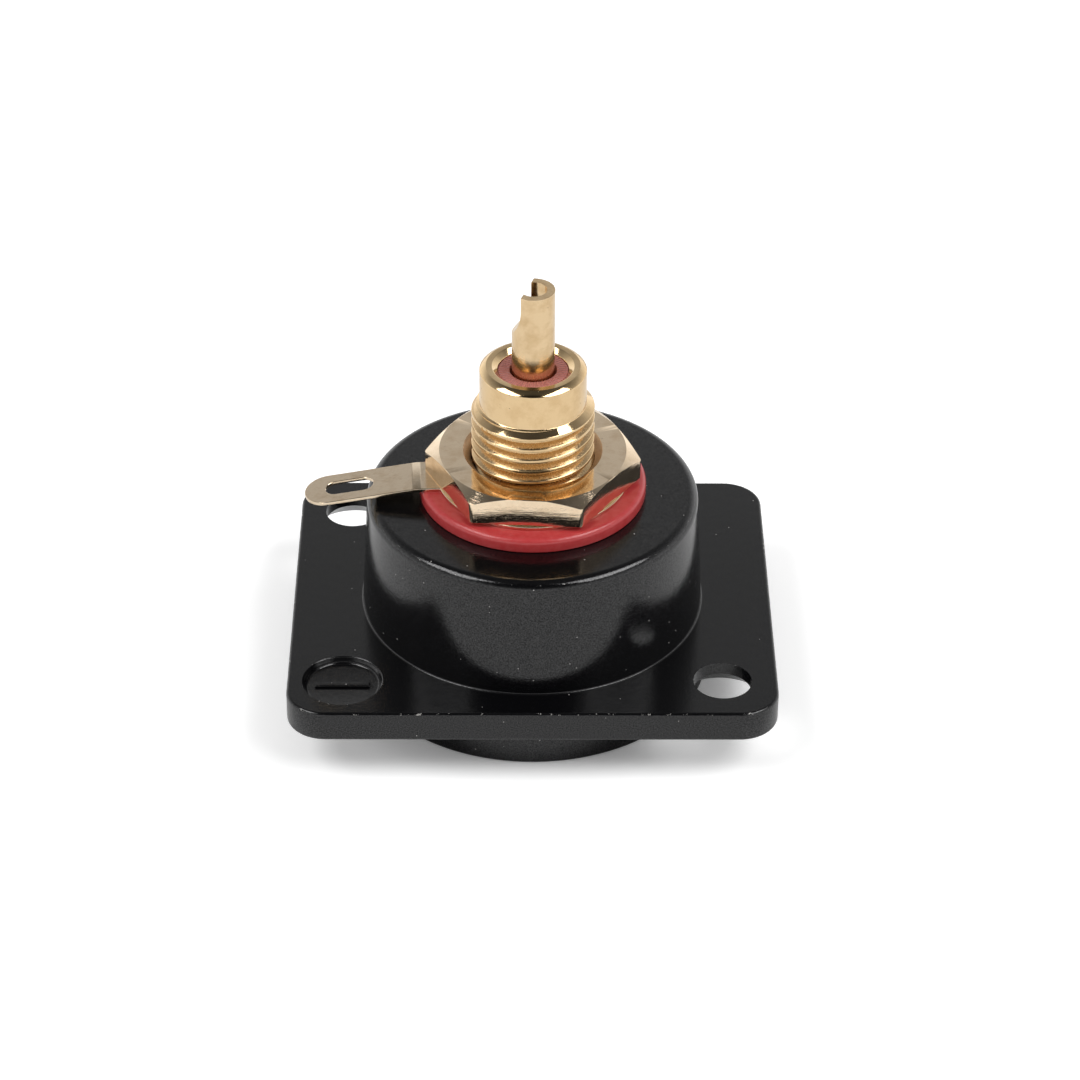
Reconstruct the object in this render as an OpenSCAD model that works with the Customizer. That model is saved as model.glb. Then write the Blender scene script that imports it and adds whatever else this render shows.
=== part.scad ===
// Panel-mounting phono socket with a solder-type centre contact.
//
// A die-cast housing with an oblong flange carries an insulated jack. The jack
// body is turned in one piece: the barrel that the plug slides over points
// forward inside the housing's cup, and the threaded stem comes out at the
// back, where a nut clamps an insulating washer and the earth lug.
//
// The origin is on the jack's axis, in the rear face of the flange. +Z points
// backwards, to the solder side. The housing's front ring is the lowest part.

/* [Flange] */
// Outside diameter of the front ring
ring_d = 22.9; // [18.8:0.1:28]
// Height of the front ring before the flange
ring_h = 3; // [2.2:0.1:4]
// Wall thickness of the front ring
ring_wall = 2.05; // [1.6:0.05:2.6]
// Width of the flange left and right of the ring
flange_side = 4.05; // [3.3:0.05:5]
// Width of the flange above and below the ring
flange_end = 1.55; // [1.2:0.05:2]
// Thickness of the flange
flange_t = 2.1; // [1.6:0.1:2.7]
// Radius of the flange's corners
corner_r = 2.5; // [2:0.1:3]
// Rounding of the casting's outer edges
edge_r = 0.2; // [0.1:0.05:0.3]

/* [Screw holes] */
// Diameter of the two screw holes
screw_hole_d = 3.7; // [3:0.1:4.5]
// Diameter of their countersinks in the front face
countersink_d = 6.2; // [5.1:0.1:7.4]
// Land between a countersink and the edges of the flange
countersink_land = 0.4; // [0.3:0.02:0.5]
// Diameter of the blind round pocket at the rear face
pocket_d = 5.15; // [4.25:0.05:6.15]
// Depth of the pocket
pocket_depth = 0.45; // [0.35:0.05:0.55]
// Step in from the pocket's rim to its floor
pocket_lean = 0.4; // [0.3:0.05:0.5]

/* [Housing barrel] */
// Step in from the side of the ring to the foot of the barrel
barrel_step = 0.45; // [0.35:0.05:0.6]
// Height of the barrel behind the flange
barrel_h = 8.2; // [6.8:0.1:9.8]
// Draft of the barrel's side, in degrees
barrel_draft = 2.9; // [2.4:0.1:3.5]
// Rounding of the barrel's rim
rim_r = 0.65; // [0.5:0.05:0.8]
// Thickness of the barrel's closed end
end_t = 2; // [1.6:0.1:2.4]
// Wall thickness of the barrel beside its closed end
barrel_wall = 1.4; // [1.1:0.05:1.7]
// Fillet between the wall and the closed end, inside the cup
cup_fillet = 0.5; // [0.4:0.05:0.6]
// Chamfer at the mouth of the cup
cup_chamfer = 0.3; // [0.2:0.05:0.4]

/* [Insulating washers] */
// Rim of the rear washer outside the nut's corners
rear_washer_rim = 0.32; // [0.24:0.02:0.4]
// Thickness of the rear washer
rear_washer_t = 0.95; // [0.75:0.05:1.15]
// Rim of the front washer outside the jack's clamping flange
front_washer_rim = 0.65; // [0.5:0.05:0.8]
// Thickness of the front washer
front_washer_t = 1; // [0.8:0.05:1.2]
// Wall thickness of the washers' shoulders
shoulder_wall = 0.8; // [0.65:0.05:1]
// Height of the washers' shoulders, inside the hole of the closed end
shoulder_h = 0.8; // [0.65:0.05:0.95]
// Rounding of the washers' rims
washer_edge_r = 0.25; // [0.2:0.05:0.3]

/* [Jack body] */
// Outside diameter of the barrel that the plug slides over
plug_barrel_d = 8.3; // [6.9:0.1:9.9]
// Wall thickness of that barrel
plug_barrel_wall = 0.65; // [0.5:0.05:0.8]
// Set-back of its mouth behind the face of the front ring
plug_barrel_setback = 0.5; // [0.4:0.05:0.6]
// Diameter of the clamping flange
jack_flange_d = 11.5; // [9.6:0.1:13.7]
// Thickness of the clamping flange
jack_flange_t = 1.8; // [1.4:0.1:2.2]
// Outside diameter of the threaded stem
stem_d = 7.8; // [6.5:0.1:9.3]
// Height of the stem's thread over the barrel's closed end
stem_h = 6.65; // [5.5:0.05:8]
// Pitch of the thread
thread_pitch = 0.79; // [0.66:0.01:0.92]
// Depth of the thread
thread_depth = 0.42; // [0.34:0.02:0.48]
// Step in from the stem to the nose
nose_step = 0.52; // [0.4:0.02:0.64]
// Length of the nose
nose_h = 2.65; // [2.1:0.05:3.2]
// Bevel of the nose and of the stem's end
nose_bevel = 0.4; // [0.3:0.05:0.5]
// Bevel at the mouths of the jack body
mouth_bevel = 0.3; // [0.2:0.05:0.4]

/* [Nut] */
// Width of the nut across its flats
nut_af = 12; // [10:0.1:14.3]
// Thickness of the nut
nut_t = 1.85; // [1.5:0.05:2.2]
// Set-back of the nut's round face from its flats
nut_face_inset = 0.05; // [0.03:0.01:0.07]
// Angle of that chamfer, in degrees
nut_chamfer_angle = 30; // [24:1:36]
// Bevel of the nut's hole
nut_bevel = 0.5; // [0.4:0.05:0.6]
// Turn of the nut on the stem, in degrees
nut_turn = -4.2; // [-30:0.1:30]

/* [Earth lug] */
// Rim of the lug's ring outside the flats of the nut
lug_rim = 0.3; // [0.24:0.02:0.36]
// Thickness of the sheet
lug_t = 0.25; // [0.2:0.05:0.3]
// Width of the tab
lug_tab_w = 3.1; // [2.6:0.1:3.7]
// Distance from the jack's axis to the tab's tip
lug_reach = 14.65; // [12.2:0.05:17.4]
// Direction of the tab, in degrees from +X
lug_direction = 182.2; // [150:0.1:210]
// Distance from the edge of the ring to the bend
lug_bend_gap = 0.8; // [0.6:0.05:1]
// Radius of the bend
lug_bend_r = 4; // [3.3:0.1:4.8]
// Angle of the bend, in degrees
lug_bend_angle = 9; // [7:0.5:11]
// Length of the slot for the wire
lug_slot_l = 3.1; // [2.5:0.1:3.7]
// Width of the slot
lug_slot_w = 1.4; // [1.1:0.05:1.7]
// Sheet left between the slot and the tip
lug_slot_land = 1.35; // [1.1:0.05:1.6]

/* [Centre contact] */
// Diameter of the bore for the plug's pin
pin_bore_d = 3.2; // [2.6:0.05:3.9]
// Depth of that bore
pin_depth = 14; // [11.6:0.1:16.7]
// Wall thickness of the contact's sleeve
sleeve_wall = 0.45; // [0.35:0.05:0.55]
// Solid metal behind the bore
sleeve_web = 2.2; // [1.8:0.1:2.6]
// Number of spring fingers
fingers = 4; // [2:1:6]
// Length of the spring fingers
finger_l = 8; // [6.6:0.1:9.6]
// Width of the saw cuts between the fingers
finger_slot_w = 0.35; // [0.25:0.05:0.45]
// Outside diameter of the solder cup
solder_cup_d = 2.7; // [2.2:0.05:3.2]
// Diameter of its bore
solder_bore_d = 1.7; // [1.4:0.05:2]
// Depth of its bore
solder_bore_depth = 3.7; // [3:0.1:4.4]
// Height of the cup's end over the nose
solder_cup_h = 5.5; // [4.5:0.1:6.6]
// Distance from the axis to the milled flat
cup_flat_offset = 0.4; // [0.3:0.05:0.5]
// Height of the flat under the cup's end
cup_flat_h = 1; // [0.8:0.05:1.2]
// Radius that the cutter leaves at the foot of the flat
cup_flat_foot_r = 2.8; // [2.3:0.1:3.3]
// Side that the flat faces, in degrees from +X
cup_flat_direction = 161.5; // [90:0.5:270]

/* [Insulators] */
// Wall thickness of the front insulator's tail inside the stem
tail_wall = 0.55; // [0.45:0.05:0.65]
// Set-back of the front insulator behind the mouth of the plug barrel
front_insulator_setback = 0.3; // [0.2:0.05:0.4]
// Thickness of the lip before the contact
front_lip = 0.7; // [0.55:0.05:0.85]
// Extra width of the lip's hole over the contact's bore
lip_play = 0.4; // [0.3:0.05:0.5]
// Diameter of the rear insulator
rear_insulator_d = 4.4; // [3.7:0.05:5.2]
// Set-back of the rear insulator behind the end of the nose
rear_insulator_setback = 0.3; // [0.2:0.05:0.4]

/* [Clearances] */
// Play between the stem and what is threaded on it, at each side
stem_play = 0.1; // [0.05:0.05:0.15]
// Play between the stem and the nut, at each side
nut_play = 0.03; // [0.02:0.01:0.05]
// Play of the washers' shoulders in their hole, at each side
shoulder_play = 0.1; // [0.05:0.05:0.15]
// Play of the insulators in the jack body, at each side
insulator_play = 0.03; // [0.02:0.01:0.05]
// Play of the sleeve in the front insulator, at each side
sleeve_play = 0.05; // [0.03:0.01:0.08]
// Play of the solder cup in the rear insulator, at each side
solder_cup_play = 0.12; // [0.08:0.02:0.16]
// Gap between the two insulators inside the stem
insulator_gap = 0.1; // [0.05:0.05:0.15]

/* [Hidden] */
$fn = 96;
cut = 1;
bend_steps = 6;

flange_w = ring_d + 2 * flange_side;
flange_d = ring_d + 2 * flange_end;
ring_r = ring_d / 2;
face_z = -flange_t - ring_h;
hole_inset = countersink_d / 2 + countersink_land;
hole_x = flange_w / 2 - hole_inset;
hole_y = flange_d / 2 - hole_inset;

barrel_foot_r = ring_r - barrel_step;
end_front_z = barrel_h - end_t;
cup_mouth_r = ring_r - ring_wall;
cup_end_r = barrel_foot_r - end_front_z * tan(barrel_draft) - barrel_wall;
cup_depth = end_front_z - face_z;
cup_draft = atan((cup_mouth_r - cup_end_r) / cup_depth);

rear_washer_d = nut_af / cos(30) + 2 * rear_washer_rim;
front_washer_d = jack_flange_d + 2 * front_washer_rim;
washer_bore_d = stem_d + 2 * stem_play;
shoulder_d = washer_bore_d + 2 * shoulder_wall;
jack_hole_d = shoulder_d + 2 * shoulder_play;
front_washer_z = end_front_z - front_washer_t;

jack_flange_z = front_washer_z - jack_flange_t;
plug_mouth_z = face_z + plug_barrel_setback;
stem_end_z = barrel_h + stem_h;
nose_end_z = stem_end_z + nose_h;
nose_d = stem_d - 2 * nose_step;

sleeve_d = pin_bore_d + 2 * sleeve_wall;
tail_bore_d = sleeve_d + 2 * sleeve_play;
tail_d = tail_bore_d + 2 * tail_wall;
front_bore_d = plug_barrel_d - 2 * plug_barrel_wall;
stem_bore_d = tail_d + 2 * insulator_play;
rear_bore_d = rear_insulator_d + 2 * insulator_play;
front_insulator_z = plug_mouth_z + front_insulator_setback;
contact_z = front_insulator_z + front_lip;
sleeve_end_z = contact_z + pin_depth + sleeve_web;
rear_insulator_end_z = nose_end_z - rear_insulator_setback;
solder_end_z = nose_end_z + solder_cup_h;
front_seat_z = jack_flange_z + plug_barrel_wall;

lug_z = barrel_h + rear_washer_t;
lug_ring_d = nut_af + 2 * lug_rim;
nut_z = lug_z + lug_t;
nut_face_r = nut_af / 2 - nut_face_inset;
lug_bend_x = lug_ring_d / 2 + lug_bend_gap;

thread_top_z = stem_end_z - nose_bevel;
thread_turns = floor((thread_top_z - nut_z - nut_t) / thread_pitch);
thread_crest = thread_pitch / 8;
thread_flank = thread_depth * tan(30);

// A revolved solid's half section: its side leans in by the draft, and the
// corner at its far end is rounded by an arc that touches side and end.
module tapered_section(foot_r, h, draft, round_r) {
    arc_x = foot_r - (h - round_r) * tan(draft) - round_r / cos(draft);
    arc_z = h - round_r;
    polygon([
        [0, 0],
        [foot_r, 0],
        [arc_x + round_r * cos(draft), arc_z + round_r * sin(draft)],
        [arc_x, h],
        [0, h]
    ]);
    translate([arc_x, arc_z]) circle(round_r);
}

// A rectangle from x0 to x1 and from the axis line up, with round corners at x1.
module rounded_end(x0, x1, h, round_r) {
    translate([x0, 0]) square([x1 - x0 - round_r, h]);
    translate([x0, round_r]) square([x1 - x0, h - 2 * round_r]);
    translate([x1 - round_r, round_r]) circle(round_r);
    translate([x1 - round_r, h - round_r]) circle(round_r);
}

// The flange: two crossed slabs and four discs, all with the same round edge.
module flange_plate() {
    translate([0, 0, -flange_t]) {
        rotate([90, 0, 90])
            linear_extrude(flange_w - 2 * corner_r, center = true)
                for (side = [0, 1]) mirror([side, 0])
                    rounded_end(0, flange_d / 2, flange_t, edge_r);
        rotate([90, 0, 0])
            linear_extrude(flange_d - 2 * corner_r, center = true)
                for (side = [0, 1]) mirror([side, 0])
                    rounded_end(0, flange_w / 2, flange_t, edge_r);
        for (sx = [-1, 1], sy = [-1, 1])
            translate([sx * (flange_w / 2 - corner_r), sy * (flange_d / 2 - corner_r), 0])
                rotate_extrude() rounded_end(0, corner_r, flange_t, edge_r);
    }
}

module screw_hole() {
    cone_h = (countersink_d - screw_hole_d) / 2;
    translate([0, 0, -flange_t - cut]) cylinder(d = screw_hole_d, h = flange_t + 2 * cut);
    translate([0, 0, -flange_t]) cylinder(d1 = countersink_d, d2 = screw_hole_d, h = cone_h);
}

// The pocket's side leans out to its rim.
module pocket() {
    rim = pocket_d / 2;
    rotate_extrude()
        polygon([
            [0, -pocket_depth],
            [rim - pocket_lean, -pocket_depth],
            [rim, 0],
            [rim, cut],
            [0, cut]
        ]);
}

module cup_cavity() {
    translate([0, 0, face_z])
        rotate_extrude() {
            tapered_section(cup_mouth_r, cup_depth, cup_draft, cup_fillet);
            polygon([
                [0, -cut],
                [cup_mouth_r + cup_chamfer + cut, -cut],
                [cup_mouth_r, cup_chamfer],
                [0, cup_chamfer]
            ]);
        }
}

module flange_housing() {
    color([0.09, 0.09, 0.1])
        difference() {
            union() {
                flange_plate();
                translate([0, 0, face_z])
                    rotate_extrude() rounded_end(0, ring_r, ring_h + flange_t / 2, edge_r);
                translate([0, 0, -flange_t / 2])
                    cylinder(r = barrel_foot_r, h = flange_t / 2);
                rotate_extrude() tapered_section(barrel_foot_r, barrel_h, barrel_draft, rim_r);
            }
            cup_cavity();
            translate([0, 0, end_front_z - cut]) cylinder(d = jack_hole_d, h = end_t + 2 * cut);
            for (side = [-1, 1]) translate([side * hole_x, -side * hole_y, 0]) screw_hole();
            translate([-hole_x, -hole_y, 0]) pocket();
        }
}

// Section of one turn of the thread, from its lower crest to its upper one.
function thread_groove(r, z) = [
    [r, z],
    [r - thread_depth, z + thread_flank],
    [r - thread_depth, z + thread_pitch - thread_crest - thread_flank],
    [r, z + thread_pitch - thread_crest]
];

// Barrel, clamping flange, threaded stem and nose, turned from one bar. The
// turns of the thread are plain rings that don't climb, and the stem is left at
// its outside diameter inside the nut.
module jack_body() {
    plug_r = plug_barrel_d / 2;
    stem_r = stem_d / 2;
    nose_r = nose_d / 2;
    rear_r = rear_bore_d / 2;
    color([0.83, 0.69, 0.46])
        rotate_extrude()
            polygon(concat(
                [
                    [front_bore_d / 2 + mouth_bevel / 2, plug_mouth_z],
                    [plug_r - mouth_bevel, plug_mouth_z],
                    [plug_r, plug_mouth_z + mouth_bevel],
                    [plug_r, jack_flange_z],
                    [jack_flange_d / 2 - mouth_bevel, jack_flange_z],
                    [jack_flange_d / 2, jack_flange_z + mouth_bevel],
                    [jack_flange_d / 2, front_washer_z],
                    [stem_r, front_washer_z]
                ],
                [for (i = [thread_turns : -1 : 1])
                    each thread_groove(stem_r, thread_top_z - i * thread_pitch)],
                [
                    [stem_r, thread_top_z],
                    [nose_r, stem_end_z],
                    [nose_r, nose_end_z - nose_bevel],
                    [nose_r - nose_bevel, nose_end_z],
                    [rear_r + mouth_bevel, nose_end_z],
                    [rear_r, nose_end_z - mouth_bevel],
                    [rear_r, sleeve_end_z],
                    [stem_bore_d / 2, sleeve_end_z],
                    [stem_bore_d / 2, front_seat_z],
                    [front_bore_d / 2, front_seat_z],
                    [front_bore_d / 2, plug_mouth_z + mouth_bevel / 2]
                ]
            ));
}

// Fills the plug barrel and runs on as a thin tube through the stem.
module front_insulator() {
    body_r = front_bore_d / 2 - insulator_play;
    lip_r = (pin_bore_d + lip_play) / 2;
    color([0.92, 0.9, 0.86])
        rotate_extrude()
            polygon([
                [lip_r + front_lip / 2, front_insulator_z],
                [body_r, front_insulator_z],
                [body_r, front_seat_z],
                [tail_d / 2, front_seat_z],
                [tail_d / 2, sleeve_end_z - insulator_gap],
                [tail_bore_d / 2, sleeve_end_z - insulator_gap],
                [tail_bore_d / 2, contact_z],
                [lip_r, contact_z],
                [lip_r, front_insulator_z + front_lip / 2]
            ]);
}

module rear_insulator() {
    bore_r = solder_cup_d / 2 + solder_cup_play;
    color([0.72, 0.36, 0.36])
        rotate_extrude()
            translate([bore_r, sleeve_end_z])
                square([rear_insulator_d / 2 - bore_r, rear_insulator_end_z - sleeve_end_z]);
}

module finger_slots() {
    for (i = [0 : fingers - 1]) rotate([0, 0, (i + 0.5) * 360 / fingers])
        translate([0, -finger_slot_w / 2, contact_z - cut])
            cube([sleeve_d, finger_slot_w, finger_l + cut]);
}

// The milled side of the solder cup, facing +X before it is turned.
module solder_cup_flat() {
    foot_z = solder_end_z - cup_flat_h;
    translate([cup_flat_offset, -solder_cup_d, foot_z])
        cube([solder_cup_d, 2 * solder_cup_d, cup_flat_h + cut]);
    translate([cup_flat_offset + cup_flat_foot_r, 0, foot_z])
        rotate([90, 0, 0]) cylinder(r = cup_flat_foot_r, h = 2 * solder_cup_d, center = true);
}

module centre_contact() {
    pin_r = pin_bore_d / 2;
    solder_r = solder_bore_d / 2;
    mouth = sleeve_wall / 2;
    bore_end_z = contact_z + pin_depth;
    solder_bore_z = solder_end_z - solder_bore_depth;
    color([0.86, 0.68, 0.4])
        difference() {
            rotate_extrude()
                polygon([
                    [0, bore_end_z + pin_r / 2],
                    [pin_r, bore_end_z],
                    [pin_r, contact_z + mouth],
                    [pin_r + mouth, contact_z],
                    [sleeve_d / 2, contact_z],
                    [sleeve_d / 2, sleeve_end_z],
                    [solder_cup_d / 2, sleeve_end_z],
                    [solder_cup_d / 2, solder_end_z],
                    [solder_r, solder_end_z],
                    [solder_r, solder_bore_z],
                    [0, solder_bore_z - solder_r / 2]
                ]);
            finger_slots();
            rotate([0, 0, cup_flat_direction]) solder_cup_flat();
        }
}

// Flat ring with a round rim and a shoulder that centres it in its hole.
module shoulder_washer(d, t) {
    bore_r = washer_bore_d / 2;
    color([0.66, 0.13, 0.17])
        rotate_extrude() {
            rounded_end(bore_r, d / 2, t, washer_edge_r);
            translate([bore_r, -shoulder_h]) square([shoulder_wall, shoulder_h + t / 2]);
        }
}

module front_washer() {
    translate([0, 0, end_front_z]) mirror([0, 0, 1]) shoulder_washer(front_washer_d, front_washer_t);
}

module rear_washer() {
    translate([0, 0, barrel_h]) shoulder_washer(rear_washer_d, rear_washer_t);
}

// Side view of the bent sheet: flat over the ring, round the bend, then sloping.
// side is 0 for the upper face and 1 for the lower one.
function lug_face(side) = let (r = lug_bend_r - side * lug_t, top = lug_t * (1 - side)) concat(
    [[-lug_ring_d, top]],
    [for (i = [0 : bend_steps]) let (a = lug_bend_angle * i / bend_steps)
        [lug_bend_x + r * sin(a), top - r * (1 - cos(a))]],
    [[lug_bend_x + r * sin(lug_bend_angle) + lug_reach * cos(lug_bend_angle),
      top - r * (1 - cos(lug_bend_angle)) - lug_reach * sin(lug_bend_angle)]]
);

function reversed(points) = [for (i = [len(points) - 1 : -1 : 0]) points[i]];

module lug_outline() {
    tip_x = lug_reach - lug_tab_w / 2;
    slot_end_x = lug_reach - lug_slot_land - lug_slot_w / 2;
    slot_start_x = slot_end_x - lug_slot_l + lug_slot_w;
    difference() {
        union() {
            circle(d = lug_ring_d);
            translate([0, -lug_tab_w / 2]) square([tip_x, lug_tab_w]);
            translate([tip_x, 0]) circle(d = lug_tab_w);
        }
        circle(d = washer_bore_d);
        translate([slot_start_x, -lug_slot_w / 2]) square([slot_end_x - slot_start_x, lug_slot_w]);
        for (x = [slot_start_x, slot_end_x]) translate([x, 0]) circle(d = lug_slot_w);
    }
}

module earth_lug() {
    color([0.8, 0.68, 0.48])
        translate([0, 0, lug_z]) rotate([0, 0, lug_direction])
            intersection() {
                translate([0, 0, -lug_reach]) linear_extrude(2 * lug_reach) lug_outline();
                rotate([90, 0, 0])
                    linear_extrude(2 * lug_ring_d, center = true)
                        polygon(concat(lug_face(0), reversed(lug_face(1))));
            }
}

module hex_nut() {
    bore_r = stem_d / 2 + nut_play;
    corner_r = nut_af / 2 / cos(30);
    chamfer_h = (corner_r - nut_face_r) * tan(nut_chamfer_angle);
    color([0.82, 0.71, 0.52])
        translate([0, 0, nut_z]) rotate([0, 0, nut_turn])
            intersection() {
                cylinder(r = corner_r, h = nut_t, $fn = 6);
                rotate_extrude()
                    polygon([
                        [bore_r, 0],
                        [corner_r + cut, 0],
                        [corner_r + cut, nut_t - chamfer_h - cut * tan(nut_chamfer_angle)],
                        [nut_face_r, nut_t],
                        [bore_r + nut_bevel, nut_t],
                        [bore_r, nut_t - nut_bevel]
                    ]);
            }
}

flange_housing();
jack_body();
front_insulator();
rear_insulator();
centre_contact();
front_washer();
rear_washer();
earth_lug();
hex_nut();
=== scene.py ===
# %% [markdown]
# # A panel-mounting phono socket, seen from its solder side
#
# This lesson dresses a finished CAD model. The CAD model gives the sizes and the
# places of nine parts. Blender gives the parts their fine shapes, such as the real
# screw thread, and their finishes: black gloss paint on a casting, pale gold plate,
# red plastic. Every length here is written in millimetres and turned into metres
# by the constant MM, because the frame is in metres.

import math

import bpy
from mathutils import Matrix, Vector


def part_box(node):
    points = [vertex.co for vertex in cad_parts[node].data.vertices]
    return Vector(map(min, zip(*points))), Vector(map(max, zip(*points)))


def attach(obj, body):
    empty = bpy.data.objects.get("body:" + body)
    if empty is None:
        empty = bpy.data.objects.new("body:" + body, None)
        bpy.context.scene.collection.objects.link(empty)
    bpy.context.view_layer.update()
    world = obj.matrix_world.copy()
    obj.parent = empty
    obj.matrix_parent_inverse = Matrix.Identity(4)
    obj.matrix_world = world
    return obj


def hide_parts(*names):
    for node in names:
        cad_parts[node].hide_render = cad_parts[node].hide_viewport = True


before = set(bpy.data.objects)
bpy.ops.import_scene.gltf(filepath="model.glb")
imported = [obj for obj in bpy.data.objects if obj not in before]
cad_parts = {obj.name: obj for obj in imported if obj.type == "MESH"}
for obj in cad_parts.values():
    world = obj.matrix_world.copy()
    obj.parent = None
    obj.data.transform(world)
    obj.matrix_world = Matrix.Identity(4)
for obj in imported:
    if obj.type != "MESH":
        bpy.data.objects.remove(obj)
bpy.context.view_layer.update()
MM = 0.001

# %% [markdown]
# ## Camera
#
# A camera could be placed by eye. This one was solved from the flange's corners and
# the barrel's circles, so that sizes can be compared pixel by pixel. It looks down at
# about 35 degrees with a long lens, so parallel edges hardly converge. The picture is
# turned by a third of a degree, which a free-hand product shot often is.

# %% Place the camera
LENS_MM, SENSOR_MM = 121.31, 36
ELEVATION, AZIMUTH, ROLL = (math.radians(a) for a in (34.768, -0.478, 0.349))
AIM = Vector((0.544, 6.043, 0.0)) * MM
DISTANCE = 242.494 * MM

back = Vector((math.sin(AZIMUTH) * math.cos(ELEVATION),
               -math.cos(AZIMUTH) * math.cos(ELEVATION),
               math.sin(ELEVATION)))
camera_data = bpy.data.cameras.new("camera")
camera_data.lens = LENS_MM
camera_data.sensor_width = SENSOR_MM
camera_data.clip_start = 0.01
camera = bpy.data.objects.new("camera", camera_data)
bpy.context.scene.collection.objects.link(camera)
turn = (-back).to_track_quat("-Z", "Y").to_matrix().to_4x4()
camera.matrix_world = Matrix.Translation(AIM + back * DISTANCE) @ turn @ Matrix.Rotation(ROLL, 4, "Z")
bpy.context.scene.camera = camera
print("camera at", [round(c / MM, 1) for c in camera.matrix_world.translation])

# %% [markdown]
# ## Tools of the bench: selecting and cleaning
#
# An operator acts on all that is selected, so every step starts from a known
# selection. Drawn and spun shapes have points that lie on each other, where a seam or
# a pole closes. They are merged within a tenth of a micrometre, and the faces are
# turned outwards only after that, because an open seam would mislead Blender.

# %% Select, weld and settle
WELD = 1e-7


def nothing_selected():
    """Leaves edit mode and deselects every object."""
    if bpy.context.mode != "OBJECT":
        bpy.ops.object.mode_set(mode="OBJECT")
    bpy.ops.object.select_all(action="DESELECT")


def only(obj):
    """Leaves edit mode, and selects this object alone."""
    nothing_selected()
    obj.select_set(True)
    bpy.context.view_layer.objects.active = obj


def weld():
    """In edit mode, merges the points that lie on each other, and selects all."""
    bpy.ops.mesh.select_all(action="SELECT")
    bpy.ops.mesh.remove_doubles(threshold=WELD)
    bpy.ops.mesh.select_all(action="SELECT")


def face_outwards():
    """In edit mode, turns every face of a closed shell outwards."""
    bpy.ops.mesh.select_all(action="SELECT")
    bpy.ops.mesh.normals_make_consistent(inside=False)


def settle(obj):
    """Moves an object's place, turn and scale into its mesh."""
    only(obj)
    bpy.ops.object.transform_apply(location=True, rotation=True, scale=True)
    return obj


print("weld distance in mm:", WELD / MM)

# %% [markdown]
# ## Tools of the bench: the lathe
#
# Most parts of a connector are turned on a lathe. A cylinder primitive could be inset
# and extruded step by step, but a drawn half section that is spun round the axis keeps
# all radii and heights in one readable list. The section is drawn by extruding one
# vertex from point to point.

# %% Draw and spin a section
TURN_STEPS = 128


def arc(centre_r, centre_z, radius, start, end, steps=6):
    """Points of an arc in a section, angles in degrees, 0 pointing outwards."""
    angles = [math.radians(start + (end - start) * i / steps) for i in range(steps + 1)]
    return [(centre_r + radius * math.cos(a), centre_z + radius * math.sin(a)) for a in angles]


def draw_line(points):
    """A new object with one chain of edges through these points, left in edit mode."""
    nothing_selected()
    bpy.ops.mesh.primitive_plane_add(size=MM, location=Vector(points[0]) * MM)
    bpy.ops.object.mode_set(mode="EDIT")
    bpy.ops.mesh.select_mode(type="VERT")
    bpy.ops.mesh.select_all(action="SELECT")
    bpy.ops.mesh.merge(type="CENTER")
    for here, there in zip(points, points[1:]):
        step = (Vector(there) - Vector(here)) * MM
        bpy.ops.mesh.extrude_region_move(TRANSFORM_OT_translate={"value": step})
    return bpy.context.object


def turned(name, section, steps=TURN_STEPS):
    """A solid of revolution. A section that starts and ends on the axis is left open there."""
    on_axis = section[0][0] == 0 and section[-1][0] == 0
    chain = list(section) if on_axis else list(section) + [section[0]]
    obj = draw_line([(r, 0, z) for r, z in chain])
    obj.name = name
    weld()
    bpy.ops.mesh.spin(steps=steps, angle=2 * math.pi, center=(0, 0, 0), axis=(0, 0, 1))
    weld()
    face_outwards()
    return settle(obj)


print("steps in a full turn:", TURN_STEPS)

# %% [markdown]
# ## Tools of the bench: saw, drill and punch
#
# Slots, holes and flats are cut into a turned part with plain tools: a block, a rod, a
# stamped outline. In Blender the cut is a Boolean modifier that is applied at once. Its
# exact solver leaves a closed mesh where the tool crosses a surface at an angle, so
# no tool here touches a surface without crossing it.

# %% Blanks, tools and cuts
def cut(obj, tool, operation="DIFFERENCE"):
    """Cuts obj with a tool, or joins or intersects them, and throws the tool away."""
    only(obj)
    boolean = obj.modifiers.new("cut", "BOOLEAN")
    boolean.operation = operation
    boolean.solver = "EXACT"
    boolean.object = tool
    bpy.ops.object.modifier_apply(modifier=boolean.name)
    bpy.data.objects.remove(tool, do_unlink=True)
    return obj


def block(name, low, high):
    """A box between two corners in millimetres."""
    nothing_selected()
    low, high = Vector(low) * MM, Vector(high) * MM
    bpy.ops.mesh.primitive_cube_add(size=1, location=(low + high) / 2, scale=high - low)
    bpy.context.object.name = name
    return settle(bpy.context.object)


def rod(name, radius, z_low, z_high, steps=TURN_STEPS):
    """A plain cylinder on the axis."""
    nothing_selected()
    bpy.ops.mesh.primitive_cylinder_add(vertices=steps, radius=radius * MM, depth=(z_high - z_low) * MM,
                                        location=(0, 0, (z_low + z_high) / 2 * MM))
    bpy.context.object.name = name
    return settle(bpy.context.object)


def stamped(name, outline, z_low, z_high):
    """A flat sheet piece: a closed outline is drawn, filled and extruded upwards."""
    obj = draw_line([(x, y, z_low) for x, y in list(outline) + [outline[0]]])
    obj.name = name
    weld()
    bpy.ops.mesh.edge_face_add()
    bpy.ops.mesh.extrude_region_move(TRANSFORM_OT_translate={"value": (0, 0, (z_high - z_low) * MM)})
    face_outwards()
    return settle(obj)


print("blanks and tools: block, rod, stamped, turned")

# %% [markdown]
# ## Tools of the bench: edges and the last steps
#
# No real edge is sharp. A casting has round corners, and tumbling and plating break
# every other edge, so that each one catches a line of light. Large rounds are bevelled
# in edit mode and small ones by a Bevel modifier. Weighted normals then keep the flat
# faces looking flat next to the narrow rounds.

# %% Round edges, and finish a piece
SMOOTH_ANGLE = math.radians(24)


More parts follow.
